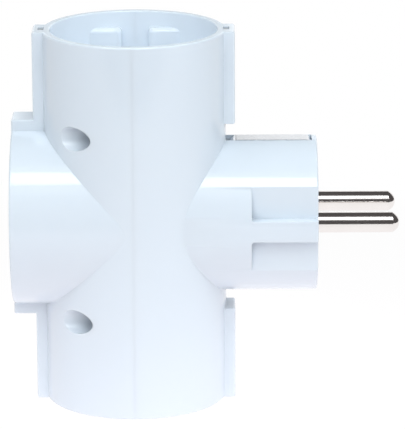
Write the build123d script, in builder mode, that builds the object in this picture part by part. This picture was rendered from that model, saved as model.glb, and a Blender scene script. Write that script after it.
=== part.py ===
import os
from build123d import *

os.makedirs("parts", exist_ok=True)

# A three-way adapter for round two-pin plugs with side earth contacts: sockets above, below and to the
# left, a plug to the right. Millimetres. The origin is the centre of the lower rim, on which it stands;
# +Z runs up the standing tube and +X along the plug's pins.

# From the standing tube's axis to the left rim and to the plug's face
left_reach = 28.6
plug_reach = 42.6

# Socket recess, its wall and its floor; the left tube is a hair smaller than the standing one
recess_radius = 19.5
recess_depth = 17.5
socket_wall = 1.9
left_step = 0.08
floor_thickness = 2.8
casing_wall = 2.4
edge_round = 0.5
lip_round = 0.35

# Guide lugs, a pair at the front and a pair at the back of each recess
lug_depth = 3.2
lug_gap = 6.4
lug_drop = 3.7
lug_round = 1.1
lug_corner = 1.4

# Ribs that house the earth springs
rib_height = 2.1
rib_width = 8.9
rib_floor = 0.8
channel_skin = 1.2
bridge_height = 2.6

# Plug body, with two notches either side of a rib at its front and back
plug_radius = 18.2
plug_wall = 2.2
plug_face_wall = 3.0
plug_round = 0.45
notch_length = 15.4
notch_depth = 3.0
notch_rib = 4.9
notch_round = 0.6

# Pins
pin_spacing = 19.0
pin_radius = 2.4
pin_length = 19.0
pin_tip = 1.7
pin_step = 0.2
collar_step = 0.9
collar_length = 2.0
tail_radius = 1.5
tail_head_radius = 2.5
tail_head = 0.8
tail_gap = 6.5

# Clips and busbars
clip_sheet = 0.5
clip_length = 7.8
clip_back = 5.85
clip_flare = 0.8
clip_short = 0.8
jaw_depth = 5.2
busbar_sheet = 0.6
busbar_width = 6.0
pad_height = 4.0
pad_rise = 4.0

# Earth brackets, links and straps, bent from one strip
strip = 0.8
strip_width = 5.0
strip_bend = 1.2
tip_width = 2.6
tip_drop = 0.35
tip_inset = 0.3
tip_shoulder = 0.4
bow_reach = 1.5
bow_start = 3.5
bow_rise = 8.75
bow_end = 0.9
leg_drop = 7.5
strap_inset = 10.5
strap_leg = 4.7
strap_clear = 0.4
strap_short = 1.3

# Contact plates
plate_width = 14.0
plate_edge = 0.95
plate_round = 2.0
tongue_reach = 1.0
tongue_thickness = 1.0
hole_lead = 0.5

# Screws and rivets
screw_inset = 5.15
screw_drop = 4.9
head_hole_radius = 2.8
head_height = 2.2
head_round = 0.4
drive_width = 0.7
drive_length = 3.4
drive_depth = 1.1
shank_radius = 1.45
shank_length = 13.5
head_seat = 4.5
boss_wall = 1.6
rivet_radius = 1.2
rivet_head_radius = 2.0
rivet_head = 0.8
rivet_edge = 1.0

# Clearances
play = 0.1
fine_play = 0.05
hole_play = 0.35
channel_play = 0.7
slot_play = 0.3
groove_play = 0.1
head_play = 0.2
shank_play = 0.25
shank_end = 0.5
rivet_gap = 0.55
bracket_gap = 0.9

# Tubes, ribs and channels. The left socket's springs pass under the upper and lower sockets' brackets,
# and that sets how far from the crossing those sockets' floors lie
socket_radius = recess_radius + socket_wall
left_radius = socket_radius - left_step
cavity_radius = socket_radius - casing_wall
rib_root = recess_radius + socket_wall / 2
rib_reach = socket_radius + rib_height
rib_middle = (rib_root + rib_reach) / 2
channel_reach = rib_reach - channel_skin
channel_width = strip_width + 2 * channel_play
spring_line = channel_reach - play
floor_depth = recess_depth + floor_thickness
strip_depth = floor_depth + strip
half_height = channel_reach + bracket_gap + strip_depth
cavity_half = half_height - floor_depth
left_wall = left_reach - floor_depth
rib_end = half_height - strip_depth - rib_floor
lug_flat = recess_radius - lug_depth
slot_depth = strip + 2 * slot_play
slot_width = tip_width + 2 * slot_play

# Pins, clips and busbars
pin_line = pin_spacing / 2
pin_straight = plug_reach + pin_length - pin_tip
pin_dome = (pin_radius**2 + pin_tip**2) / (2 * pin_tip)
base_radius = pin_radius + pin_step
collar_radius = base_radius + collar_step
hole_radius = pin_radius + hole_play
clip_bottom = recess_depth + pin_length - clip_short
clip_top = clip_bottom - clip_length
clip_gap = pin_radius + play
clip_half = clip_gap + clip_sheet
jaw_outer = pin_line + clip_half
busbar_outer = jaw_outer + busbar_sheet
bar_half = half_height - clip_top
pin_back = clip_bottom - left_reach + tail_gap + tail_head + busbar_sheet
plate_length = pin_spacing + 2 * hole_radius + 2 * plate_edge
plate_lip = (floor_thickness - tongue_thickness) / 2

# Plug, straps and links
face_inside = plug_reach - plug_face_wall
plug_half_width = busbar_outer + 2 * play
notch_flat = plug_radius - notch_depth
groove_width = strip_width + 2 * groove_play
strap_level = plug_radius - play - strip
strap_pit = strap_level - 2 * strip
strap_rise = socket_radius + strap_clear
strap_tip = plug_reach - strap_short
strap_spot = cavity_radius - strap_inset
strap_drop = strap_spot + strap_leg
pit_start = cavity_radius - strip
pit_end = strap_rise + 3 * strip + play
link_spot = left_wall - 2 * strip - rivet_head_radius - rivet_gap
link_end = rivet_head_radius + rivet_edge
leg_spot = cavity_half - leg_drop

# Screws
screw_y = socket_radius - screw_inset
screw_z = half_height - recess_depth - screw_drop
screw_spots = [(y, z) for y in (-screw_y, screw_y) for z in (-screw_z, screw_z)]
boss_radius = head_hole_radius + boss_wall
head_radius = head_hole_radius - head_play

# One plane at each rim, facing out of its socket, with its X across the two earth springs
upper_rim = Plane(origin=(0, 0, 2 * half_height), x_dir=(1, 0, 0), z_dir=(0, 0, 1))
lower_rim = Plane(origin=(0, 0, 0), x_dir=(1, 0, 0), z_dir=(0, 0, -1))
left_rim = Plane(origin=(-left_reach, 0, half_height), x_dir=(0, 0, 1), z_dir=(-1, 0, 0))
plug_face = Plane(origin=(plug_reach, 0, half_height), x_dir=(0, 1, 0), z_dir=(1, 0, 0))
seam = Plane(origin=(0, 0, half_height), x_dir=(0, 1, 0), z_dir=(1, 0, 0))
middle = Plane(origin=(0, 0, half_height), x_dir=(1, 0, 0), z_dir=(0, -1, 0))
sockets = {"upper": upper_rim, "lower": lower_rim, "left": left_rim}
sides = {"front": -1, "back": 1}
ends = {"upper": 1, "lower": -1}
rivet_spots = {
    "upper": (-link_spot, strap_spot),
    "lower": (-link_spot, strap_spot),
    "left": (-leg_spot, leg_spot),
}


def height_at(plane, shape):
    return plane.to_local_coords(shape.center()).Z


def at_height(plane, height):
    return lambda shape: abs(height_at(plane, shape) - height) < 0.01


def across(rim, y):
    # Cuts a socket lengthwise at a distance behind its axis: X crosses the springs, Y leaves the socket
    return Plane(origin=rim.origin + Vector(0, y, 0), x_dir=rim.x_dir, z_dir=-rim.y_dir)


def along_pin(x, side):
    return Plane(origin=(x, side * pin_line, half_height), x_dir=(0, 1, 0), z_dir=(1, 0, 0))


# Ribs run down from each rim: short of the plug on its side, into the left socket on the other
with BuildPart() as plug_side_ribs:
    for rim in (upper_rim, lower_rim):
        with BuildSketch(rim):
            with Locations((rib_middle, 0)):
                Rectangle(rib_reach - rib_root, rib_width)
        extrude(amount=rib_end - half_height)
    fillet(plug_side_ribs.edges().filter_by(lambda e: e.center().X > rib_middle), edge_round)
with BuildPart() as far_side_ribs:
    for rim in (upper_rim, lower_rim):
        with BuildSketch(rim):
            with Locations((-rib_middle, 0)):
                Rectangle(rib_reach - rib_root, rib_width)
        extrude(amount=recess_radius - half_height)
    fillet(far_side_ribs.edges().filter_by(lambda e: e.center().X < -rib_middle), edge_round)
with BuildPart() as left_ribs:
    with BuildSketch(left_rim):
        with Locations((rib_middle, 0), (-rib_middle, 0)):
            Rectangle(rib_reach - rib_root, rib_width)
    extrude(amount=recess_radius - left_reach)
    fillet(left_ribs.edges().filter_by(lambda e: abs(e.center().Z - half_height) > rib_middle), edge_round)

# Screw bosses run across inside the standing tube
with BuildPart() as bosses:
    with BuildSketch(seam.offset(-cavity_radius)):
        with Locations(*screw_spots):
            Circle(boss_radius)
    extrude(amount=2 * cavity_radius)
    with BuildSketch(lower_rim):
        Circle(rib_root)
    extrude(amount=-2 * half_height, mode=Mode.INTERSECT)

# The casing is drawn whole and parted at the seam further down
with BuildPart() as casing:
    with BuildSketch(lower_rim):
        Circle(socket_radius)
    extrude(amount=-2 * half_height)
    fillet(casing.edges().filter_by(GeomType.CIRCLE), edge_round)
    with BuildSketch(plug_face):
        Circle(plug_radius)
    extrude(amount=-plug_reach)
    fillet(casing.faces().sort_by(Axis.X)[-1].edges(), plug_round)
    with BuildSketch(left_rim):
        Circle(left_radius)
    extrude(amount=-left_reach)
    fillet(casing.faces().sort_by(Axis.X)[0].edges(), edge_round)
    add(plug_side_ribs.part)
    add(far_side_ribs.part)
    add(left_ribs.part)

    # The hollow inside, and the plug's own hollow
    with BuildSketch(Plane.XY.offset(half_height - cavity_half)):
        Circle(cavity_radius)
        with Locations((-left_wall - cavity_radius, 0)):
            Rectangle(2 * cavity_radius, 2 * cavity_radius, mode=Mode.SUBTRACT)
    extrude(amount=2 * cavity_half, mode=Mode.SUBTRACT)
    with BuildSketch(plug_face.offset(-plug_face_wall)):
        Circle(plug_radius - plug_wall)
        Rectangle(2 * plug_half_width, 2 * strap_pit - casing_wall, mode=Mode.INTERSECT)
    extrude(amount=-face_inside, mode=Mode.SUBTRACT)

    # Screw bosses, and pads that back the busbars
    add(bosses.part)
    with BuildSketch(seam.offset(-busbar_width / 2)):
        for y in sides.values():
            for z in ends.values():
                pad_y = y * (busbar_outer + cavity_radius) / 2
                with Locations((pad_y, z * (half_height - clip_bottom + pad_rise))):
                    Rectangle(cavity_radius - busbar_outer, pad_height)
    extrude(amount=busbar_width)

    # The recesses with their guide lugs, rounded on top and at the gap between them
    for rim in sockets.values():
        with BuildSketch(rim):
            Circle(recess_radius)
        extrude(amount=-recess_depth, mode=Mode.SUBTRACT)
        fillet(casing.edges(Select.LAST).filter_by(at_height(rim, 0)), lip_round)
        with BuildSketch(rim.offset(-recess_depth)) as lugs:
            Circle((recess_radius + rib_root) / 2)
            Rectangle(3 * recess_radius, 2 * lug_flat, mode=Mode.SUBTRACT)
            Rectangle(lug_gap, 3 * recess_radius, mode=Mode.SUBTRACT)
            fillet(lugs.vertices().sort_by(lambda v: Vector(v.X, v.Y).length)[:4], lug_corner)
        extrude(amount=recess_depth - lug_drop)
        lug_tops = casing.edges(Select.LAST).filter_by(at_height(rim, -lug_drop))
        fillet(lug_tops.sort_by(SortBy.LENGTH)[:-4], lug_round)

    # Channels and rim slots for the earth springs
    for rim in sockets.values():
        channel_root = recess_radius - slot_play
        with BuildSketch(rim.offset(-bridge_height)):
            for end in ends.values():
                with Locations((end * (channel_root + channel_reach) / 2, 0)):
                    Rectangle(channel_reach - channel_root, channel_width)
        extrude(amount=bridge_height - strip_depth, mode=Mode.SUBTRACT)
        with BuildSketch(rim.offset(-floor_depth)):
            Rectangle(2 * channel_reach, channel_width)
        extrude(amount=-strip, mode=Mode.SUBTRACT)
        with BuildSketch(rim):
            for end in ends.values():
                with Locations((end * (spring_line - slot_depth / 2), 0)):
                    Rectangle(slot_depth, slot_width)
        extrude(amount=-bridge_height, mode=Mode.SUBTRACT)

    # Seats for the contact plates: a groove around an opening, open to the inside on the left
    for name, rim in sockets.items():
        with BuildSketch(rim.offset(-recess_depth)):
            RectangleRounded(plate_width + 2 * play, plate_length + 2 * play, plate_round)
        extrude(amount=-floor_thickness, mode=Mode.SUBTRACT)
        tongue_play = tongue_reach + play
        with BuildSketch(rim.offset(-recess_depth - plate_lip)):
            RectangleRounded(
                plate_width + 2 * tongue_play, plate_length + 2 * tongue_play, plate_round + tongue_reach
            )
        groove = floor_thickness - plate_lip if name == "left" else tongue_thickness + play
        extrude(amount=-groove, mode=Mode.SUBTRACT)

    # The plug's notches either side of a rib, front and back
    for side in sides.values():
        with BuildSketch(middle.offset(-side * notch_flat)):
            for end in ends.values():
                with Locations((plug_reach, end * (notch_rib + plug_radius) / 2)):
                    RectangleRounded(2 * notch_length, plug_radius, notch_round)
        extrude(amount=-side * plug_radius, mode=Mode.SUBTRACT)

    # Grooves for the plug's earth straps, deeper where a strap enters the casing and where its tip hooks in
    for end in ends.values():
        level = half_height + end * strap_level
        groove_floor = Plane(origin=(0, 0, level), x_dir=(1, 0, 0), z_dir=(0, 0, end))
        groove_end = strap_tip + play
        with BuildSketch(groove_floor):
            with Locations(((socket_radius + groove_end) / 2, 0)):
                Rectangle(groove_end - socket_radius, groove_width)
        extrude(amount=2 * strip, mode=Mode.SUBTRACT)
        with BuildSketch(groove_floor):
            with Locations(((pit_start + pit_end) / 2, 0)):
                Rectangle(pit_end - pit_start, groove_width)
            with Locations((groove_end - strip, 0)):
                Rectangle(2 * strip, groove_width)
        extrude(amount=strap_pit - strap_level, mode=Mode.SUBTRACT)

    # Pin holes in the plug's face
    with BuildSketch(plug_face):
        with Locations((-pin_line, 0), (pin_line, 0)):
            Circle(base_radius + fine_play)
    extrude(amount=-plug_face_wall, mode=Mode.SUBTRACT)

# Socket side of the casing: the left socket and half of the upper and lower ones
with BuildPart() as socket_side:
    add(casing.part)
    split(bisect_by=Plane.YZ, keep=Keep.BOTTOM)
    with BuildSketch(seam):
        with Locations(*screw_spots):
            Circle(shank_radius + shank_play)
    extrude(amount=-head_seat, mode=Mode.SUBTRACT)
    with BuildSketch(seam.offset(-head_seat)):
        with Locations(*screw_spots):
            Circle(head_hole_radius)
    extrude(amount=-left_reach, mode=Mode.SUBTRACT)
socket_side.part.label = "socket_side_shell"
export_step(socket_side.part, "parts/socket_side_shell.step")

# Plug side of the casing
with BuildPart() as plug_side:
    add(casing.part)
    split(bisect_by=Plane.YZ, keep=Keep.TOP)
    with BuildSketch(seam):
        with Locations(*screw_spots):
            Circle(shank_radius + fine_play)
    extrude(amount=shank_length - head_seat + shank_end, mode=Mode.SUBTRACT)
plug_side.part.label = "plug_side_shell"
export_step(plug_side.part, "parts/plug_side_shell.step")

# Contact plates: each has a socket's two pin holes clear of the seam, countersunk so that a pin finds its
# way in, and a tongue around its edge
for name, rim in sockets.items():
    with BuildPart() as plate:
        with BuildSketch(rim.offset(-floor_depth)):
            RectangleRounded(plate_width, plate_length, plate_round)
        extrude(amount=floor_thickness)
        with BuildSketch(rim.offset(-recess_depth - plate_lip - tongue_thickness)):
            RectangleRounded(
                plate_width + 2 * tongue_reach, plate_length + 2 * tongue_reach, plate_round + tongue_reach
            )
        extrude(amount=tongue_thickness)
        with BuildSketch(rim.offset(-recess_depth)):
            with Locations((0, -pin_line), (0, pin_line)):
                Circle(hole_radius)
        extrude(amount=-floor_thickness, mode=Mode.SUBTRACT)
        mouths = plate.edges(Select.LAST).filter_by(at_height(rim, -recess_depth))
        chamfer(mouths, hole_lead)
    plate.part.label = f"{name}_contact_plate"
    export_step(plate.part, f"parts/{name}_contact_plate.step")

# Pins, turned with a domed tip: each stands on a collar behind the plug's face, its tail headed over in the
# busbar's tab
for name, side in sides.items():
    with BuildPart() as pin:
        with BuildSketch(along_pin(pin_back, side)):
            Circle(base_radius)
        extrude(amount=plug_reach - pin_back)
        with BuildSketch(middle.offset(-side * pin_line)):
            with BuildLine():
                Polyline((pin_straight, pin_radius), (plug_reach, pin_radius), (plug_reach, 0))
                Line((plug_reach, 0), (plug_reach + pin_length, 0))
                RadiusArc((plug_reach + pin_length, 0), (pin_straight, pin_radius), -pin_dome)
            make_face()
        revolve(axis=Axis((0, side * pin_line, half_height), (1, 0, 0)))
        with BuildSketch(along_pin(face_inside, side)):
            Circle(collar_radius)
        extrude(amount=-collar_length)
        with BuildSketch(along_pin(pin_back, side)):
            Circle(tail_radius)
        extrude(amount=-busbar_sheet)
        with BuildSketch(along_pin(pin_back - busbar_sheet, side)):
            Circle(tail_head_radius)
        extrude(amount=-tail_head)
    pin.part.label = f"{name}_pin"
    export_step(pin.part, f"parts/{name}_pin.step")

# Busbars: a flat cross behind the clips with a tab bent in to the pin's tail
for name, side in sides.items():
    tab_end = pin_line - collar_radius
    with BuildPart() as busbar:
        with BuildSketch(middle.offset(-side * busbar_outer)):
            Rectangle(busbar_width, 2 * bar_half)
            with Locations(((pin_back - busbar_width / 2) / 2, 0)):
                Rectangle(pin_back + busbar_width / 2, busbar_width)
        extrude(amount=side * busbar_sheet)
        with BuildSketch(seam.offset(pin_back)):
            with Locations((side * (busbar_outer + tab_end) / 2, 0)):
                Rectangle(busbar_outer - tab_end, busbar_width)
        extrude(amount=-busbar_sheet)
        bend = busbar.edges().filter_by(Axis.Z).sort_by(Axis.X)[-4:]
        fillet(bend.sort_by(lambda e: abs(e.center().Y))[-1:], busbar_sheet)
        with BuildSketch(along_pin(pin_back, side)):
            Circle(tail_radius + fine_play)
        extrude(amount=-busbar_sheet, mode=Mode.SUBTRACT)
    busbar.part.label = f"{name}_busbar"
    export_step(busbar.part, f"parts/{name}_busbar.step")

# Clips: two jaws, flared where the pin comes in, on a back that lies against the busbar
for name, rim in sockets.items():
    for side_name, side in sides.items():
        with BuildPart() as clip:
            with BuildSketch(across(rim, side * (jaw_outer - (jaw_depth + clip_sheet) / 2))):
                with BuildLine():
                    Polyline(
                        (clip_gap, -clip_bottom),
                        (clip_half, -clip_bottom),
                        (clip_half, clip_back - clip_bottom),
                        (clip_half + clip_flare, -clip_top),
                        (clip_gap + clip_flare, -clip_top),
                        (clip_gap, clip_back - clip_bottom),
                        close=True,
                    )
                make_face()
                mirror(about=Plane.YZ)
            extrude(amount=(jaw_depth + clip_sheet) / 2, both=True)
            with BuildSketch(across(rim, side * (jaw_outer - clip_sheet / 2))):
                with Locations((0, clip_back / 2 - clip_bottom)):
                    Rectangle(2 * clip_half, clip_back)
            extrude(amount=clip_sheet / 2, both=True)
        clip.part.label = f"{name}_{side_name}_clip"
        export_step(clip.part, f"parts/{name}_{side_name}_clip.step")

# Earth brackets: a strip across the floor's underside, each end turned up into a bowed spring
for name, rim in sockets.items():
    with BuildPart() as bracket:
        with BuildSketch(across(rim, 0)):
            with BuildLine():
                FilletPolyline(
                    (0, -strip_depth),
                    (spring_line, -strip_depth),
                    (spring_line, bow_start - recess_depth),
                    (recess_radius - bow_reach + strip, bow_rise - recess_depth),
                    (spring_line - tip_inset, -bridge_height - bow_end),
                    (spring_line - tip_inset, -tip_drop),
                    radius=strip_bend,
                )
                offset(amount=strip, side=Side.LEFT)
            make_face()
            mirror(about=Plane.YZ)
        extrude(amount=strip_width / 2, both=True)
        with BuildSketch(rim):
            for side in sides.values():
                with Locations((0, side * (tip_width + strip_width) / 2)):
                    Rectangle(3 * rib_reach, strip_width)
        extrude(amount=-bridge_height - tip_shoulder, mode=Mode.SUBTRACT)
        with BuildSketch(rim.offset(-floor_depth)):
            for spot in rivet_spots[name]:
                with Locations((spot, 0)):
                    Circle(rivet_radius + fine_play)
        extrude(amount=-strip, mode=Mode.SUBTRACT)
    bracket.part.label = f"{name}_earth_bracket"
    export_step(bracket.part, f"parts/{name}_earth_bracket.step")

# Earth links tie the left bracket to the upper and the lower one
for name, end in ends.items():
    under = end * (cavity_half - strip)
    beside = strip - left_wall
    with BuildPart() as link:
        with BuildSketch(middle):
            with BuildLine():
                FilletPolyline(
                    (beside, end * (leg_spot - link_end)),
                    (beside, under),
                    (link_end - link_spot, under),
                    radius=strip_bend,
                )
                offset(amount=strip, side=Side.RIGHT if end > 0 else Side.LEFT)
            make_face()
        extrude(amount=strip_width / 2, both=True)
        with BuildSketch(sockets[name].offset(-strip_depth)):
            with Locations((-link_spot, 0)):
                Circle(rivet_radius + fine_play)
        extrude(amount=-strip, mode=Mode.SUBTRACT)
        with BuildSketch(left_rim.offset(-strip_depth)):
            with Locations((end * leg_spot, 0)):
                Circle(rivet_radius + fine_play)
        extrude(amount=-strip, mode=Mode.SUBTRACT)
    link.part.label = f"{name}_earth_link"
    export_step(link.part, f"parts/{name}_earth_link.step")

# The plug's earth straps: from the bracket, down and out through the casing, along the plug
for name, end in ends.items():
    with BuildPart() as strap:
        with BuildSketch(middle):
            with BuildLine():
                FilletPolyline(
                    (strap_spot - link_end, end * (cavity_half - strip)),
                    (strap_drop, end * (cavity_half - strip)),
                    (strap_drop, end * (strap_pit + strip)),
                    (strap_rise, end * (strap_pit + strip)),
                    (strap_rise + 2 * strip, end * (strap_level + strip)),
                    (strap_tip, end * (strap_level + strip)),
                    (strap_tip, end * (strap_pit + play)),
                    radius=strip_bend,
                )
                offset(amount=strip, side=Side.RIGHT if end > 0 else Side.LEFT)
            make_face()
        extrude(amount=strip_width / 2, both=True)
        with BuildSketch(sockets[name].offset(-strip_depth)):
            with Locations((strap_spot, 0)):
                Circle(rivet_radius + fine_play)
        extrude(amount=-strip, mode=Mode.SUBTRACT)
    strap.part.label = f"{name}_plug_earth_strap"
    export_step(strap.part, f"parts/{name}_plug_earth_strap.step")

# Rivets of the earth parts, flush with the floors and headed on the inside
with BuildPart() as rivets:
    for name, rim in sockets.items():
        for spot in rivet_spots[name]:
            with BuildSketch(rim.offset(-floor_depth)):
                with Locations((spot, 0)):
                    Circle(rivet_radius)
            extrude(amount=-2 * strip)
            with BuildSketch(rim.offset(-strip_depth - strip)):
                with Locations((spot, 0)):
                    Circle(rivet_head_radius)
            extrude(amount=-rivet_head)
rivets.part.label = "earth_rivets"
export_step(rivets.part, "parts/earth_rivets.step")

# Screws with a slotted head, driven from the left
with BuildPart() as screws:
    for spot in screw_spots:
        with BuildSketch(seam.offset(-head_seat)):
            with Locations(spot):
                Circle(shank_radius)
        extrude(amount=shank_length)
        with BuildSketch(seam.offset(-head_seat)):
            with Locations(spot):
                Circle(head_radius)
        extrude(amount=-head_height)
    fillet(screws.faces().group_by(Axis.X)[0].edges(), head_round)
    with BuildSketch(seam.offset(-head_seat - head_height)):
        with Locations(*screw_spots):
            Rectangle(drive_length, drive_width)
    extrude(amount=drive_depth, mode=Mode.SUBTRACT)
screws.part.label = "casing_screws"
export_step(screws.part, "parts/casing_screws.step")
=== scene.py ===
# %% [markdown]
# A three-way mains adapter in pale moulded plastic: a standing tube with a round socket at either end, a
# third socket to the left and a round plug with two pins to the right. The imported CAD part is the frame,
# in metres, standing on the floor. This lesson dresses it: it smooths the shading of the two mouldings and
# the pins, makes the screws and rivets, gives every piece its finish, and lights it as a studio would.

# %% Load the frame
import math

import bmesh
import bpy
from mathutils import Matrix, Vector


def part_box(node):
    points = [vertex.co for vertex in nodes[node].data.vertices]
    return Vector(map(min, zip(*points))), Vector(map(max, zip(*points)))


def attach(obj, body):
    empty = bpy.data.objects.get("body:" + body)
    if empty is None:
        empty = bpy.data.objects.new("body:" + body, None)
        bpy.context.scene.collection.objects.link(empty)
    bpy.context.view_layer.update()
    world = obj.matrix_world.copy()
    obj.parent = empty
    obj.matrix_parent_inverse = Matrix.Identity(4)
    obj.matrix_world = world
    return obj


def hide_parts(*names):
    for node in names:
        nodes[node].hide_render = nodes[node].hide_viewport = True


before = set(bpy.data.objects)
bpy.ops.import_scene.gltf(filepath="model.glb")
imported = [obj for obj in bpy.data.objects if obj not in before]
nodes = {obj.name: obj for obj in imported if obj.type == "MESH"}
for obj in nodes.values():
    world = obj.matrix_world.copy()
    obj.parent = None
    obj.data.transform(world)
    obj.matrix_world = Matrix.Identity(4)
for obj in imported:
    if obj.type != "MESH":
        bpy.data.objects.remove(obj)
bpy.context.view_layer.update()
MM = 0.001

# %% [markdown]
# The places that the looks need are read off the frame, so the dressing follows the part. The crossing is
# where the axis of the standing tube meets the axis of the left socket and the plug. Four screws lie round
# that second axis, and their spread is measured to the middle of a head.

# %% Read the places off the frame
up, along = Vector((0, 0, 1)), Vector((1, 0, 0))
tube_low, tube_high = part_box("socket_side_shell")
crossing = Vector((0, 0, (tube_low.z + tube_high.z) / 2))
screw_head = 2.6 * MM
screw_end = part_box("casing_screws")[1]
screw_spread = Vector((0, screw_end.y - screw_head, screw_end.z - crossing.z - screw_head))
print("crossing at", round(crossing.z / MM, 2), "mm")
print("screws", [round(v / MM, 2) for v in screw_spread.yz], "mm across and up from it")


# %% [markdown]
# Finishes and shapes are both built from nodes. A wire stands for one output socket, and sums written on
# it add Math nodes, so a rule reads as an expression. A bench holds one node tree and makes its nodes.

# %% A wire that does sums, and a bench that makes nodes
class Wire:
    def __init__(self, bench, socket):
        self.bench = bench
        self.socket = socket

    def of(self, name):
        return Wire(self.bench, self.socket.node.outputs[name])

    def math(self, operation, a, b=0.0):
        return self.bench.node("ShaderNodeMath", {"operation": operation}, {0: a, 1: b})

    def __add__(self, other):
        return self.math("ADD", self, other)

    def __radd__(self, other):
        return self.math("ADD", other, self)

    def __sub__(self, other):
        return self.math("SUBTRACT", self, other)

    def __rsub__(self, other):
        return self.math("SUBTRACT", other, self)

    def __mul__(self, other):
        return self.math("MULTIPLY", self, other)

    def __rmul__(self, other):
        return self.math("MULTIPLY", other, self)

    def __truediv__(self, other):
        return self.math("DIVIDE", self, other)

    def __rtruediv__(self, other):
        return self.math("DIVIDE", other, self)

    def __gt__(self, other):
        return self.math("GREATER_THAN", self, other)

    def __lt__(self, other):
        return self.math("LESS_THAN", self, other)

    def clamped(self, low=0.0, high=1.0):
        return self.math("MINIMUM", self.math("MAXIMUM", self, low), high)

    def apply(self, operation):
        return self.math(operation, self)


class Bench:
    def __init__(self, tree):
        self.tree = tree

    def node(self, kind, settings=None, inputs=None, output=0):
        made = self.tree.nodes.new(kind)
        for name, value in (settings or {}).items():
            setattr(made, name, value)
        for key, value in (inputs or {}).items():
            for each in value if isinstance(value, list) else [value]:
                if isinstance(each, Wire):
                    self.tree.links.new(each.socket, made.inputs[key])
                else:
                    made.inputs[key].default_value = each
        return Wire(self, made.outputs[output]) if len(made.outputs) else None


print("wire and bench ready")


# %% [markdown]
# Every finish starts as an empty material. Marks come from noise laid in the piece's own coordinates, and
# two shades are mixed by a mask.

# %% Tools for the finishes
def new_finish(name):
    material = bpy.data.materials.new(name)
    material.use_nodes = True
    material.node_tree.nodes.clear()
    return material, Bench(material.node_tree)


def noise(bench, place, scale, detail):
    return bench.node("ShaderNodeTexNoise", None, {"Vector": place, "Scale": scale, "Detail": detail})


def between(bench, mask, low, high):
    low, high = [shade if isinstance(shade, Wire) else (*shade, 1) for shade in (low, high)]
    return bench.node("ShaderNodeMix", {"data_type": "RGBA"}, {0: mask, 6: low, 7: high}, 2)


print("finish tools ready")

# %% [markdown]
# The casing is glossy moulded plastic, white with a cold blue cast. Up close such a moulding isn't a mirror:
# the steel mould leaves a fine orange peel, the melt leaves broad areas that are a touch glossier, and
# handling leaves faint rubs and pales the edges. Hollows that light hardly reaches, such as the screw wells,
# get a
# painted shade: their colour is darkened. Edges could be painted point by point, but a rule follows the
# shape:
# an edge is where the true surface turns away from one with its edges rounded off, which also gives it a
# small highlight. The seam between the mouldings stays sharp. A hollow is where the piece's own walls hide
# about half of the sky, and the painted shade deepens as more of the sky is hidden.

# %% Moulded plastic
melt_scale, peel_scale, rub_scale = 55.0, 2600.0, 420.0
seam_reach = 0.3 * MM
edge_radius = 0.2 * MM
edge_gain = 4
# Painted shade in hollows: how far to look for walls, how much open sky it starts below, how fast it deepens,
# how much of the colour it takes, and its dark colour.
hollow_reach = 8.0 * MM
open_sky = 0.57
hollow_shade_gain = 2
hollow_shade_cover = 0.66
hollow_shade_colour = (0.30, 0.34, 0.38)


def rounded_normal(bench, place, true_normal):
    x = bench.node("ShaderNodeSeparateXYZ", None, {0: place})
    seam = x.apply("ABSOLUTE") < seam_reach
    rounded = bench.node("ShaderNodeBevel", {"samples": 8}, {"Radius": edge_radius})
    return bench.node("ShaderNodeMix", {"data_type": "VECTOR"}, {0: seam, 4: rounded, 5: true_normal}, 1)


def moulded_plastic(name, shade, deep_shade, gloss):
    material, bench = new_finish(name)
    place = bench.node("ShaderNodeTexCoord", output="Object")
    flow = noise(bench, place, melt_scale, 3.0)
    peel = noise(bench, place, peel_scale, 2.0)
    rub = noise(bench, place, rub_scale, 6.0)
    true_normal = bench.node("ShaderNodeNewGeometry", output="Normal")
    rounded = rounded_normal(bench, place, true_normal)
    straight = bench.node("ShaderNodeVectorMath", {"operation": "DOT_PRODUCT"},
                          {0: rounded, 1: true_normal}, "Value")
    edge = ((1 - straight) * edge_gain).clamped()
    # Painted shade: where the piece's own walls hide the sky, the base colour is darkened towards a dark
    # grey.
    sky = bench.node("ShaderNodeAmbientOcclusion", {"samples": 16, "only_local": True},
                     {"Distance": hollow_reach}, "AO")
    painted_hollow_shade = ((open_sky - sky) * hollow_shade_gain).clamped()
    clean = between(bench, (flow * 0.5 + rub * 0.3 + edge * 0.4).clamped(), deep_shade, shade)
    height = peel * 0.5 + rub * 0.25
    bump = bench.node("ShaderNodeBump", None,
                      {"Strength": 0.08, "Distance": 0.01 * MM, "Height": height, "Normal": rounded})
    shader = bench.node("ShaderNodeBsdfPrincipled", None, {
        "Base Color": between(bench, painted_hollow_shade * hollow_shade_cover, clean, hollow_shade_colour),
        "Roughness": gloss + (flow - 0.5) * 0.05 + (rub - 0.5) * 0.03 + edge * 0.05,
        "IOR": 1.5,
        "Subsurface Weight": 0.15,
        "Subsurface Radius": (1.0, 1.05, 1.1),
        "Subsurface Scale": 1.5 * MM,
        "Normal": bump,
    })
    bench.node("ShaderNodeOutputMaterial", None, {"Surface": shader})
    return material


casing_plastic = moulded_plastic("casing_plastic", (0.800, 0.860, 0.928), (0.778, 0.842, 0.916), 0.08)
plate_plastic = moulded_plastic("plate_plastic", (0.785, 0.844, 0.910), (0.762, 0.825, 0.895), 0.22)
print("plastics:", casing_plastic.name, plate_plastic.name)

# %% [markdown]
# Pins and springs are nickel-plated brass, a bright warm grey, and the plug's straps are tinned and colder.
# Both show the fine marks of turning or rolling under the plating, and smudges that dull it in places. The
# clips and bars behind the floors are bare brass, and the screws are zinc-plated steel. Each could have its
# own recipe, but they differ only in shade, gloss and the way the grain runs, so one recipe makes them all:
# noise stretched along one axis of the part for the grain, and a broad one for the smudges.

# %% Metals
smudge_scale = 160.0
round_the_pin = (9000.0, 60.0, 60.0)
along_strip = (200.0, 6000.0, 200.0)


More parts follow.
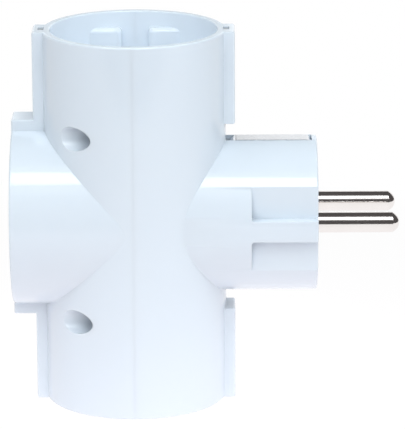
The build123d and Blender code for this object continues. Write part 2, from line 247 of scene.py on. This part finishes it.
def plated_metal(name, shade, dull_shade, gloss, grain, grain_depth):
    material, bench = new_finish(name)
    place = bench.node("ShaderNodeTexCoord", output="Object")
    stretched = bench.node("ShaderNodeMapping", None, {"Vector": place, "Scale": grain})
    marks = noise(bench, stretched, 1.0, 4.0)
    smudge = noise(bench, place, smudge_scale, 4.0)
    bump = bench.node("ShaderNodeBump", None,
                      {"Strength": grain_depth, "Distance": 0.004 * MM, "Height": marks})
    shader = bench.node("ShaderNodeBsdfPrincipled", None, {
        "Base Color": between(bench, (smudge * 0.7 + marks * 0.3).clamped(), dull_shade, shade),
        "Roughness": (gloss + (smudge - 0.5) * 0.12 + (marks - 0.5) * 0.08).clamped(0.05, 0.9),
        "Metallic": 1.0,
        "Normal": bump,
    })
    bench.node("ShaderNodeOutputMaterial", None, {"Surface": shader})
    return material


pin_nickel = plated_metal(
    "pin_nickel", (0.92, 0.885, 0.87), (0.83, 0.79, 0.77), 0.13, round_the_pin, 0.12)
strip_nickel = plated_metal(
    "strip_nickel", (0.76, 0.74, 0.71), (0.66, 0.64, 0.61), 0.24, along_strip, 0.15)
strap_tin = plated_metal(
    "strap_tin", (0.95, 0.975, 1.0), (0.90, 0.93, 0.98), 0.27, along_strip, 0.10)
clip_brass = plated_metal(
    "clip_brass", (0.80, 0.62, 0.32), (0.62, 0.45, 0.20), 0.28, along_strip, 0.15)
screw_zinc = plated_metal(
    "screw_zinc", (0.62, 0.63, 0.66), (0.50, 0.51, 0.54), 0.30, round_the_pin, 0.12)
print("metals:", pin_nickel.name, strip_nickel.name, strap_tin.name, clip_brass.name, screw_zinc.name)

# %% [markdown]
# The inner metalwork is stamped from strip, flat and crisp, and the floors are plain plates, so the CAD
# shape is already the right one. Each only takes a finish: its material slot is filled, and the mesh is
# left alone.

# %% Dress the inner metalwork and the plates
finishes = {
    "earth_bracket": strip_nickel,
    "plug_earth_strap": strap_tin,
    "busbar": clip_brass,
    "clip": clip_brass,
    "earth_link": clip_brass,
    "contact_plate": plate_plastic,
}


def dress(piece, finish):
    piece.data.materials.clear()
    piece.data.materials.append(finish)


for ending, finish in finishes.items():
    dressed = [name for name in nodes if name.endswith(ending)]
    for name in dressed:
        dress(nodes[name], finish)
    print(finish.name, "on", dressed)

# %% [markdown]
# The two mouldings meet at the standing tube's axis. A CAD mesh is a bag of loose patches, one for each face
# of the solid, and its long thin triangles shade unevenly on a glossy tube. Subdividing wouldn't help, so
# each moulding is a copy whose patches are merged, and whose shading normals come from the shape itself:
# a flat patch has one normal, a round one points away from its own axis, and a fillet blends between them.
# First, each patch is found and given its rule.

# %% Patches of a CAD mesh, and the rule that shades each
FLAT_COSINE = 0.99999
ROUND_SLACK = 4e-6
AXIAL_COSINE = 0.02


def patch_numbers(mesh):
    leader = list(range(len(mesh.vertices)))

    def find(vertex):
        while leader[vertex] != vertex:
            leader[vertex] = leader[leader[vertex]]
            vertex = leader[vertex]
        return vertex

    for polygon in mesh.polygons:
        first, *others = polygon.vertices
        for other in others:
            leader[find(other)] = find(first)
    return [find(polygon.vertices[0]) for polygon in mesh.polygons]


def away_from(axis, point):
    origin, direction = axis
    arm = point - origin
    return arm - direction * arm.dot(direction)


def patch_rule(points, normals, axes):
    mean = sum(normals, Vector()).normalized()
    if min(mean.dot(normal) for normal in normals) > FLAT_COSINE:
        return lambda point: mean
    for axis in axes:
        reach = [away_from(axis, point).length for point in points]
        lean = max(abs(axis[1].dot(normal)) for normal in normals)
        if max(reach) - min(reach) < ROUND_SLACK and lean < AXIAL_COSINE:
            side = 1 if away_from(axis, points[0]).dot(normals[0]) > 0 else -1
            return lambda point: side * away_from(axis, point).normalized()
    return None


def marked_patches(rebuilt, source, axes):
    patch_of = rebuilt.faces.layers.int.new("patch")
    members = {}
    for face, number in zip(rebuilt.faces, patch_numbers(source)):
        face[patch_of] = number
        members.setdefault(number, []).append(face)
    rules = {}
    for number, faces in members.items():
        points = [vertex.co.copy() for face in faces for vertex in face.verts]
        rules[number] = patch_rule(points, [face.normal.copy() for face in faces], axes)
    return patch_of, rules


for name in ("socket_side_shell", "plug_side_shell"):
    print(name, "has", len(set(patch_numbers(nodes[name].data))), "patches")

# %% [markdown]
# Then the points are merged and every corner gets its normal. The crease value is the cosine of the bend
# that two faces may make and still shade as one: a moulding's fillets run smoothly into its walls.

# %% The two mouldings
MERGE_DISTANCE = 1e-6
FILLET_COSINE = 0.7
MOULDED_CREASE = 0.82


def placed(name, data):
    thing = bpy.data.objects.new(name, data)
    bpy.context.scene.collection.objects.link(thing)
    return thing


def stands_for(piece, node):
    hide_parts(node)
    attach(piece, "root")


def corner_normal(loop, patch_of, rules, crease):
    point, face_normal = loop.vert.co, loop.face.normal
    rule = rules[loop.face[patch_of]]
    if rule:
        return rule(point)
    around = [(rules[face[patch_of]], face) for face in loop.vert.link_faces]
    ruled = [near(point) for near, face in around if near]
    ruled = [normal for normal in ruled if normal.dot(face_normal) > crease]
    if ruled:
        return max(ruled, key=face_normal.dot)
    blend = [face.normal * face.calc_area() for near, face in around if not near]
    blend = [normal for normal in blend if normal.normalized().dot(face_normal) > FILLET_COSINE]
    return sum(blend, Vector()).normalized()


def merged_copy(name, node, axes, crease, finish):
    source = nodes[node].data
    rebuilt = bmesh.new()
    rebuilt.from_mesh(source)
    patch_of, rules = marked_patches(rebuilt, source, axes)
    bmesh.ops.remove_doubles(rebuilt, verts=rebuilt.verts, dist=MERGE_DISTANCE)
    rebuilt.normal_update()
    corners = [loop for face in rebuilt.faces for loop in face.loops]
    normals = [corner_normal(loop, patch_of, rules, crease) for loop in corners]
    mesh = bpy.data.meshes.new(name)
    rebuilt.to_mesh(mesh)
    rebuilt.free()
    mesh.shade_smooth()
    mesh.normals_split_custom_set(normals)
    piece = placed(name, mesh)
    dress(piece, finish)
    stands_for(piece, node)
    ruled = sum(1 for rule in rules.values() if rule)
    print(name, len(mesh.polygons), "faces,", ruled, "of", len(rules), "patches shaded by rule")


screw_axes = [
    (crossing + Vector((0, y * screw_spread.y, z * screw_spread.z)), along) for y in (-1, 1) for z in (-1, 1)
]
casing_axes = [(crossing, up), (crossing, along), *screw_axes]
for side in ("socket", "plug"):
    merged_copy(side + "_side_moulding", side + "_side_shell", casing_axes, MOULDED_CREASE,
                casing_plastic)

# %% [markdown]
# The two pins are turned from rod and have a rounded tip. They are copied in the same way, each round its
# own axis, with a tighter crease, because a turned shoulder stays crisp.

# %% The two pins
TURNED_CREASE = 0.97

for side in ("front", "back"):
    low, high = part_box(side + "_pin")
    pin_axis = ((low + high) / 2, along)
    merged_copy(side + "_turned_pin", side + "_pin", [pin_axis], TURNED_CREASE, pin_nickel)

# %% [markdown]
# Four screws pull the mouldings together and six rivets join the earth strips. Both repeat, so each kind is
# a tree of Geometry Nodes that makes one fastener and sets it on points. A fastener is turned or headed, so
# it is a line of rings whose height and radius follow a rule. A Screw modifier would spin an outline too,
# but in a tree the sizes stay named inputs.


# %% Turned shapes, and a maker of repeated fasteners
SHARP_ANGLE = math.radians(35)


def new_recipe(name, sizes):
    tree = bpy.data.node_groups.new(name, "GeometryNodeTree")
    tree.interface.new_socket("Geometry", in_out="OUTPUT", socket_type="NodeSocketGeometry")
    for size in sizes:
        tree.interface.new_socket(size, in_out="INPUT", socket_type="NodeSocketFloat")
    bench = Bench(tree)
    given = bench.node("NodeGroupInput")
    return bench, [given.of(size) for size in sizes]


def vector(bench, x=0.0, y=0.0, z=0.0):
    return bench.node("ShaderNodeCombineXYZ", None, {"X": x, "Y": y, "Z": z})


def turned(bench, rings, around, height, radius):
    line = bench.node("GeometryNodeMeshLine", None, {"Count": rings})
    line = bench.node("GeometryNodeSetPosition", None,
                      {"Geometry": line, "Position": vector(bench, z=height)})
    spine = bench.node("GeometryNodeMeshToCurve", None, {"Mesh": line})
    ring = bench.node("GeometryNodeCurvePrimitiveCircle", None, {"Resolution": around, "Radius": 1.0})
    return bench.node("GeometryNodeCurveToMesh", None,
                      {"Curve": spine, "Profile Curve": ring, "Scale": radius, "Fill Caps": True})


def joined(bench, *pieces):
    return bench.node("GeometryNodeJoinGeometry", None, {"Geometry": list(pieces)})


def finished(bench, shape, finish):
    shape = bench.node("GeometryNodeRealizeInstances", None, {"Geometry": shape})
    shape = bench.node("GeometryNodeSetMaterial", None, {"Geometry": shape, "Material": finish})
    bench.node("NodeGroupOutput", None, {"Geometry": shape})


def fasteners(name, bench, sizes, node):
    piece = placed(name, bpy.data.meshes.new(name + "_start"))
    recipe = piece.modifiers.new("recipe", "NODES")
    recipe.node_group = bench.tree
    for socket in bench.tree.interface.items_tree:
        if socket.in_out == "INPUT":
            recipe[socket.identifier] = sizes[socket.name]
    mesh = bpy.data.meshes.new_from_object(piece.evaluated_get(bpy.context.evaluated_depsgraph_get()))
    piece.modifiers.remove(recipe)
    piece.data = mesh
    merged = bmesh.new()
    merged.from_mesh(mesh)
    bmesh.ops.remove_doubles(merged, verts=merged.verts, dist=MERGE_DISTANCE)
    bmesh.ops.recalc_face_normals(merged, faces=merged.faces)
    merged.to_mesh(mesh)
    merged.free()
    mesh.shade_smooth()
    mesh.set_sharp_from_angle(angle=SHARP_ANGLE)
    stands_for(piece, node)
    low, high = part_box(node)
    print(name, len(mesh.polygons), "faces; node box", [round(v / MM, 2) for v in (*low, *high)])


print("fastener tools ready")

# %% [markdown]
# The screws go in from the left, deep in their wells, with their heads against the seat of the socket-side
# moulding and their threads biting into the bosses of the other. The head has a rounded edge and a milled
# slot, cut with a Boolean. A bump could fake the thread, but the mesh is used without its finish too, so the
# thread is a spiral swept with a diamond, half sunk in the core.

# %% Casing screws
screw_shank = 13.5 * MM
screw_sizes = {
    "Head radius": screw_head,
    "Head height": 2.2 * MM,
    "Head round": 0.4 * MM,
    "Slot length": 3.4 * MM,
    "Slot width": 0.7 * MM,
    "Slot depth": 1.1 * MM,
    "Core radius": 1.12 * MM,
    "Thread depth": 0.33 * MM,
    "Pitch": 1.25 * MM,
    "Shank length": screw_shank,
    "Point": 1.4 * MM,
    "Spread across": screw_spread.y,
    "Spread up": screw_spread.z,
    "Seat": screw_end.x - screw_shank,
    "Middle": crossing.z,
}
edge_steps = 6
head_sides, shank_sides, coil_steps = 40, 24, 24
point_taper = 0.6
plain_turns = 1.5


def screw_recipe(sizes):
    bench, given = new_recipe("casing_screw", sizes)
    radius, height, edge, slot_length, slot_width, slot_depth, *rest = given
    core, ridge, pitch, length, point, across, upward, seat, middle = rest
    ring = bench.node("GeometryNodeInputIndex")
    bend = ((ring - 1) / edge_steps).clamped() * (math.pi / 2)
    head = turned(bench, edge_steps + 2, head_sides,
                  (ring > 0.5) * (edge - height - edge * bend.apply("SINE")),
                  radius - edge + edge * bend.apply("COSINE"))
    cutter = bench.node("GeometryNodeMeshCube", None,
                        {"Size": vector(bench, slot_length, slot_width, slot_depth * 2)})
    cutter = bench.node("GeometryNodeTransform", None,
                        {"Geometry": cutter, "Translation": vector(bench, z=0 - height)})
    head = bench.node("GeometryNodeMeshBoolean", {"operation": "DIFFERENCE", "solver": "EXACT"},
                      {"Mesh 1": head, "Mesh 2": cutter})
    shank = turned(bench, 3, shank_sides,
                   (ring > 0.5) * (length - point) + (ring > 1.5) * point - (ring < 0.5) * edge,
                   core - (ring > 1.5) * core * point_taper)
    turns = (length - point) / pitch - plain_turns
    coil = bench.node("GeometryNodeCurveSpiral", None, {
        "Resolution": coil_steps, "Rotations": turns, "Height": turns * pitch,
        "Start Radius": core, "End Radius": core})
    coil = bench.node("GeometryNodeSetCurveNormal", {"mode": "Z_UP"}, {"Curve": coil})
    diamond = bench.node("GeometryNodeCurvePrimitiveCircle", None, {"Resolution": 4, "Radius": ridge})
    thread = bench.node("GeometryNodeCurveToMesh", None,
                        {"Curve": coil, "Profile Curve": diamond, "Fill Caps": True})
    thread = bench.node("GeometryNodeTransform", None,
                        {"Geometry": thread, "Translation": vector(bench, z=pitch)})
    corners = bench.node("GeometryNodeMeshGrid", None, {
        "Size X": across * 2, "Size Y": upward * 2, "Vertices X": 2, "Vertices Y": 2})
    four = bench.node("GeometryNodeInstanceOnPoints", None,
                      {"Points": corners, "Instance": joined(bench, head, shank, thread)})
    four = bench.node("GeometryNodeTransform", None, {
        "Geometry": four, "Translation": vector(bench, seat, 0, middle),
        "Rotation": (math.pi / 2, 0, math.pi / 2)})
    finished(bench, four, screw_zinc)
    return bench


fasteners("threaded_screws", screw_recipe(screw_sizes), screw_sizes, "casing_screws")

# %% [markdown]
# The rivets are soft brass, flush with the floors and headed over on the inside, which leaves a low dome.
# They come in pairs: two under the upper floor, two over the lower one and two behind the left one. They
# could be six placed copies, but a pair is a line of two points, and its turn points both heads inwards.

# %% Earth rivets
rivet_low, rivet_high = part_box("earth_rivets")
rivet_head = 2.0 * MM
rivet_sizes = {
    "Shank radius": 1.2 * MM,
    "Grip": 1.6 * MM,
    "Head radius": rivet_head,
    "Head height": 0.8 * MM,
    "Floor": rivet_high.z - crossing.z,
    "Wall": -rivet_low.x,
    "Link spot": 4.15 * MM,
    "Strap spot": rivet_high.x - rivet_head,
    "Leg spot": 16.5 * MM,
    "Middle": crossing.z,
}
rivet_sides, dome_sides = 24, 32
dome_rings, dome_step = 8, math.radians(12)
shank_overlap = 0.25


def rivet_recipe(sizes):
    bench, given = new_recipe("earth_rivet", sizes)
    radius, grip, head_radius, height, floor, wall, link, strap, leg, middle = given
    ring = bench.node("GeometryNodeInputIndex")
    shank = turned(bench, 2, rivet_sides, ring * (grip + height * shank_overlap), radius)
    bend = ring * dome_step
    head = turned(bench, dome_rings, dome_sides,
                  grip + height * bend.apply("SINE"), head_radius * bend.apply("COSINE"))
    rivet = joined(bench, shank, head)

    def pair(start, step, turn):
        spots = bench.node("GeometryNodeMeshLine", None,
                           {"Count": 2, "Start Location": start, "Offset": step})
        return bench.node("GeometryNodeInstanceOnPoints", None,
                          {"Points": spots, "Instance": rivet, "Rotation": turn})

    upper = pair(vector(bench, 0 - link, 0, floor), vector(bench, link + strap), (math.pi, 0, 0))
    lower = pair(vector(bench, 0 - link, 0, 0 - floor), vector(bench, link + strap), (0, 0, 0))
    left = pair(vector(bench, 0 - wall, 0, 0 - leg), vector(bench, z=leg * 2), (0, math.pi / 2, 0))
    six = bench.node("GeometryNodeTransform", None, {
        "Geometry": joined(bench, upper, lower, left), "Translation": vector(bench, z=middle)})
    finished(bench, six, clip_brass)
    return bench


fasteners("domed_rivets", rivet_recipe(rivet_sizes), rivet_sizes, "earth_rivets")

# %% [markdown]
# The studio is nearly a white tent: pale light from all round, so that the shading stays soft. Most of it
# comes from a softbox close in front, which lights the upper recess as well as the outside. The narrow strip
# is there for its reflection alone, the crisp white streak along each round body. The surround shows white
# to the camera and in reflections. A lamp's turn and height are in degrees round the crossing, from the front
# and up, its size is in metres and its power in watts.


# %% Surround and softboxes
FILL_COLOUR, FILL_STRENGTH = (0.93, 0.98, 1.02), 0.34
LAMP_COLOUR = (0.925, 0.98, 1.0)
WHITE = (1, 1, 1)


def seen_by(bench, first, *others):
    path = bench.node("ShaderNodeLightPath", output=first)
    seen = path
    for other in others:
        seen = path.math("MAXIMUM", seen, path.of(other))
    return seen


def direction(turn, height):
    turn, height = math.radians(turn), math.radians(height)
    return Vector((math.sin(turn) * math.cos(height), -math.cos(turn) * math.cos(height), math.sin(height)))


def studio_world():
    world = bpy.data.worlds.new("studio")
    bpy.context.scene.world = world
    world.use_nodes = True
    world.node_tree.nodes.clear()
    bench = Bench(world.node_tree)
    seen = seen_by(bench, "Is Camera Ray", "Is Glossy Ray", "Is Transmission Ray")
    fill = bench.node("ShaderNodeBackground", None,
                      {"Color": (*FILL_COLOUR, 1), "Strength": FILL_STRENGTH})
    white = bench.node("ShaderNodeBackground", None, {"Color": (*WHITE, 1), "Strength": 1.0})
    both = bench.node("ShaderNodeMixShader", None, {0: seen, 1: fill, 2: white})
    bench.node("ShaderNodeOutputWorld", None, {"Surface": both})


def softbox(name, turn, height, distance, size, power, hidden):
    arm = direction(turn, height)
    lamp = bpy.data.lights.new(name, "AREA")
    lamp.shape = "RECTANGLE"
    lamp.size, lamp.size_y = size
    lamp.energy = power
    lamp.color = LAMP_COLOUR
    holder = placed(name, lamp)
    holder.location = crossing + distance * arm
    holder.rotation_euler = arm.to_track_quat("Z", "Y").to_euler()
    setattr(holder, "visible_" + hidden, False)
    print(name, "at", [round(v, 3) for v in holder.location])


studio_world()
softbox("front_strip", 0, 58.5, 1.0, (1.1, 0.28), 4.8, "diffuse")
softbox("front_softbox", 2, 46, 0.4, (0.36, 0.36), 0.93, "glossy")
softbox("right_softbox", 74, 28, 1.0, (0.6, 0.6), 2.6, "glossy")
softbox("left_softbox", -66, 40, 1.0, (0.6, 0.6), 1.2, "glossy")
softbox("top_softbox", -70, 70, 1.0, (0.6, 0.5), 1.2, "glossy")
softbox("back_softbox", 168, 16, 1.0, (0.8, 0.5), 4.4, "glossy")

# %% [markdown]
# The part stands on a white table. Its top glows a little round the part, so that the undersides aren't
# dark. A plain white sheet would do for the camera, but it would throw too much light back up from far out,
# so the glow fades with distance. Close to the part, some of the true shadow shows through.


# %% Table
TABLE_SIZE = 3.0
GLOW_REACH, GLOW_FADE = 0.06, 0.14
GLOW_NEAR, GLOW_FAR = (0.95, 0.88, 0.91), (0.08, 0.08, 0.08)
PAPER_GREY = (0.3, 0.3, 0.3)
SHADOW_SHARE = 0.12


def stage_piece(name, build):
    mesh = bpy.data.meshes.new(name)
    shape = bmesh.new()
    build(shape)
    shape.to_mesh(mesh)
    shape.free()
    piece = placed(name, mesh)
    return piece


def table_top():
    material, bench = new_finish("table_top")
    seen = seen_by(bench, "Is Camera Ray", "Is Glossy Ray")
    place = bench.node("ShaderNodeTexCoord", output="Object")
    far = bench.node("ShaderNodeVectorMath", {"operation": "LENGTH"}, {0: place}, "Value")
    near = (1 - (far - GLOW_REACH) / GLOW_FADE).clamped()
    paper = bench.node("ShaderNodeBsdfDiffuse", None, {"Color": (*PAPER_GREY, 1)})
    glow = bench.node("ShaderNodeEmission", None,
                      {"Color": between(bench, near, GLOW_FAR, GLOW_NEAR), "Strength": 1.0})
    lit = bench.node("ShaderNodeAddShader", None, {0: paper, 1: glow})
    white = bench.node("ShaderNodeEmission", None, {"Color": (*WHITE, 1), "Strength": 1.0})
    both = bench.node("ShaderNodeMixShader", None,
                      {0: seen * (1 - near * SHADOW_SHARE), 1: lit, 2: white})
    bench.node("ShaderNodeOutputMaterial", None, {"Surface": both})
    return material


floor = stage_piece("floor", lambda shape: bmesh.ops.create_grid(
    shape, x_segments=8, y_segments=8, size=TABLE_SIZE))
floor.data.materials.append(table_top())
print("floor", len(floor.data.polygons), "faces")

# %% [markdown]
# Bright metal needs something dark to mirror, so three dark cards bend over the set: one low in front, one
# overhead and behind, and one to the right for the tips of the pins. A small grey one behind keeps the
# glancing reflection in the rim's flat top from going white. Darker walls would do this too, but they would
# dim the plastic, so the cards are seen by reflections alone. A card is an arc round the crossing, from one
# lift to another in degrees, with its reach and width in metres.


# %% Cards
CARD_STEPS = 12
BLACK_CLOTH = (0.085, 0.080, 0.080)
GREY_CLOTH = (0.5, 0.5, 0.5)


def card(name, turn, low, high, reach, width, shade):
    def build(shape):
        around = Matrix.Rotation(math.radians(turn), 3, "Z")
        rows = []
        for step in range(CARD_STEPS + 1):
            lift = math.radians(low + (high - low) * step / CARD_STEPS)
            place = reach * Vector((0, -math.cos(lift), math.sin(lift)))
            edges = [place + Vector((side * width, 0, 0)) for side in (-0.5, 0.5)]
            rows.append([shape.verts.new(crossing + around @ edge) for edge in edges])
        for below, above in zip(rows, rows[1:]):
            shape.faces.new((*below, *reversed(above)))

    sheet = stage_piece(name, build)
    material, bench = new_finish(name)
    cloth = bench.node("ShaderNodeEmission", None, {"Color": (*shade, 1), "Strength": 1.0})
    bench.node("ShaderNodeOutputMaterial", None, {"Surface": cloth})
    sheet.data.materials.append(material)
    for kind in ("camera", "diffuse", "transmission", "volume_scatter", "shadow"):
        setattr(sheet, "visible_" + kind, False)
    print(name, len(sheet.data.polygons), "faces, from", low, "to", high, "degrees")


card("front_card", 0, -8, 36, 0.32, 1.28, BLACK_CLOTH)
card("back_card", 0, 76, 150, 0.6, 2.4, BLACK_CLOTH)
card("right_card", 97, -6, 70, 0.45, 0.6, BLACK_CLOTH)
card("rim_card", 1.7, 152, 173, 0.6, 0.085, GREY_CLOTH)

# %% [markdown]
# The camera stands where the photograph was taken: nearly straight in front, looking down by fifteen
# degrees, from about 0.8 m with a long lens.

# %% Camera
camera_turn, camera_height, camera_roll = 0.087, 15.374, -0.272
camera_distance = 0.7987
camera_aim = crossing + Vector((15.822, 0, -0.615)) * MM
back = direction(camera_turn, camera_height)
stand = Matrix.Translation(camera_aim + camera_distance * back)
level = back.to_track_quat("Z", "Y").to_matrix().to_4x4()
roll = Matrix.Rotation(math.radians(camera_roll), 4, "Z")
camera_data = bpy.data.cameras.new("camera")
camera_data.lens = 284.72
camera_data.sensor_width = 36.0
camera = placed("camera", camera_data)
camera.matrix_world = stand @ level @ roll
bpy.context.scene.camera = camera
bpy.context.scene.view_settings.view_transform = "Standard"
print("camera at", [round(v, 3) for v in camera.matrix_world.translation])
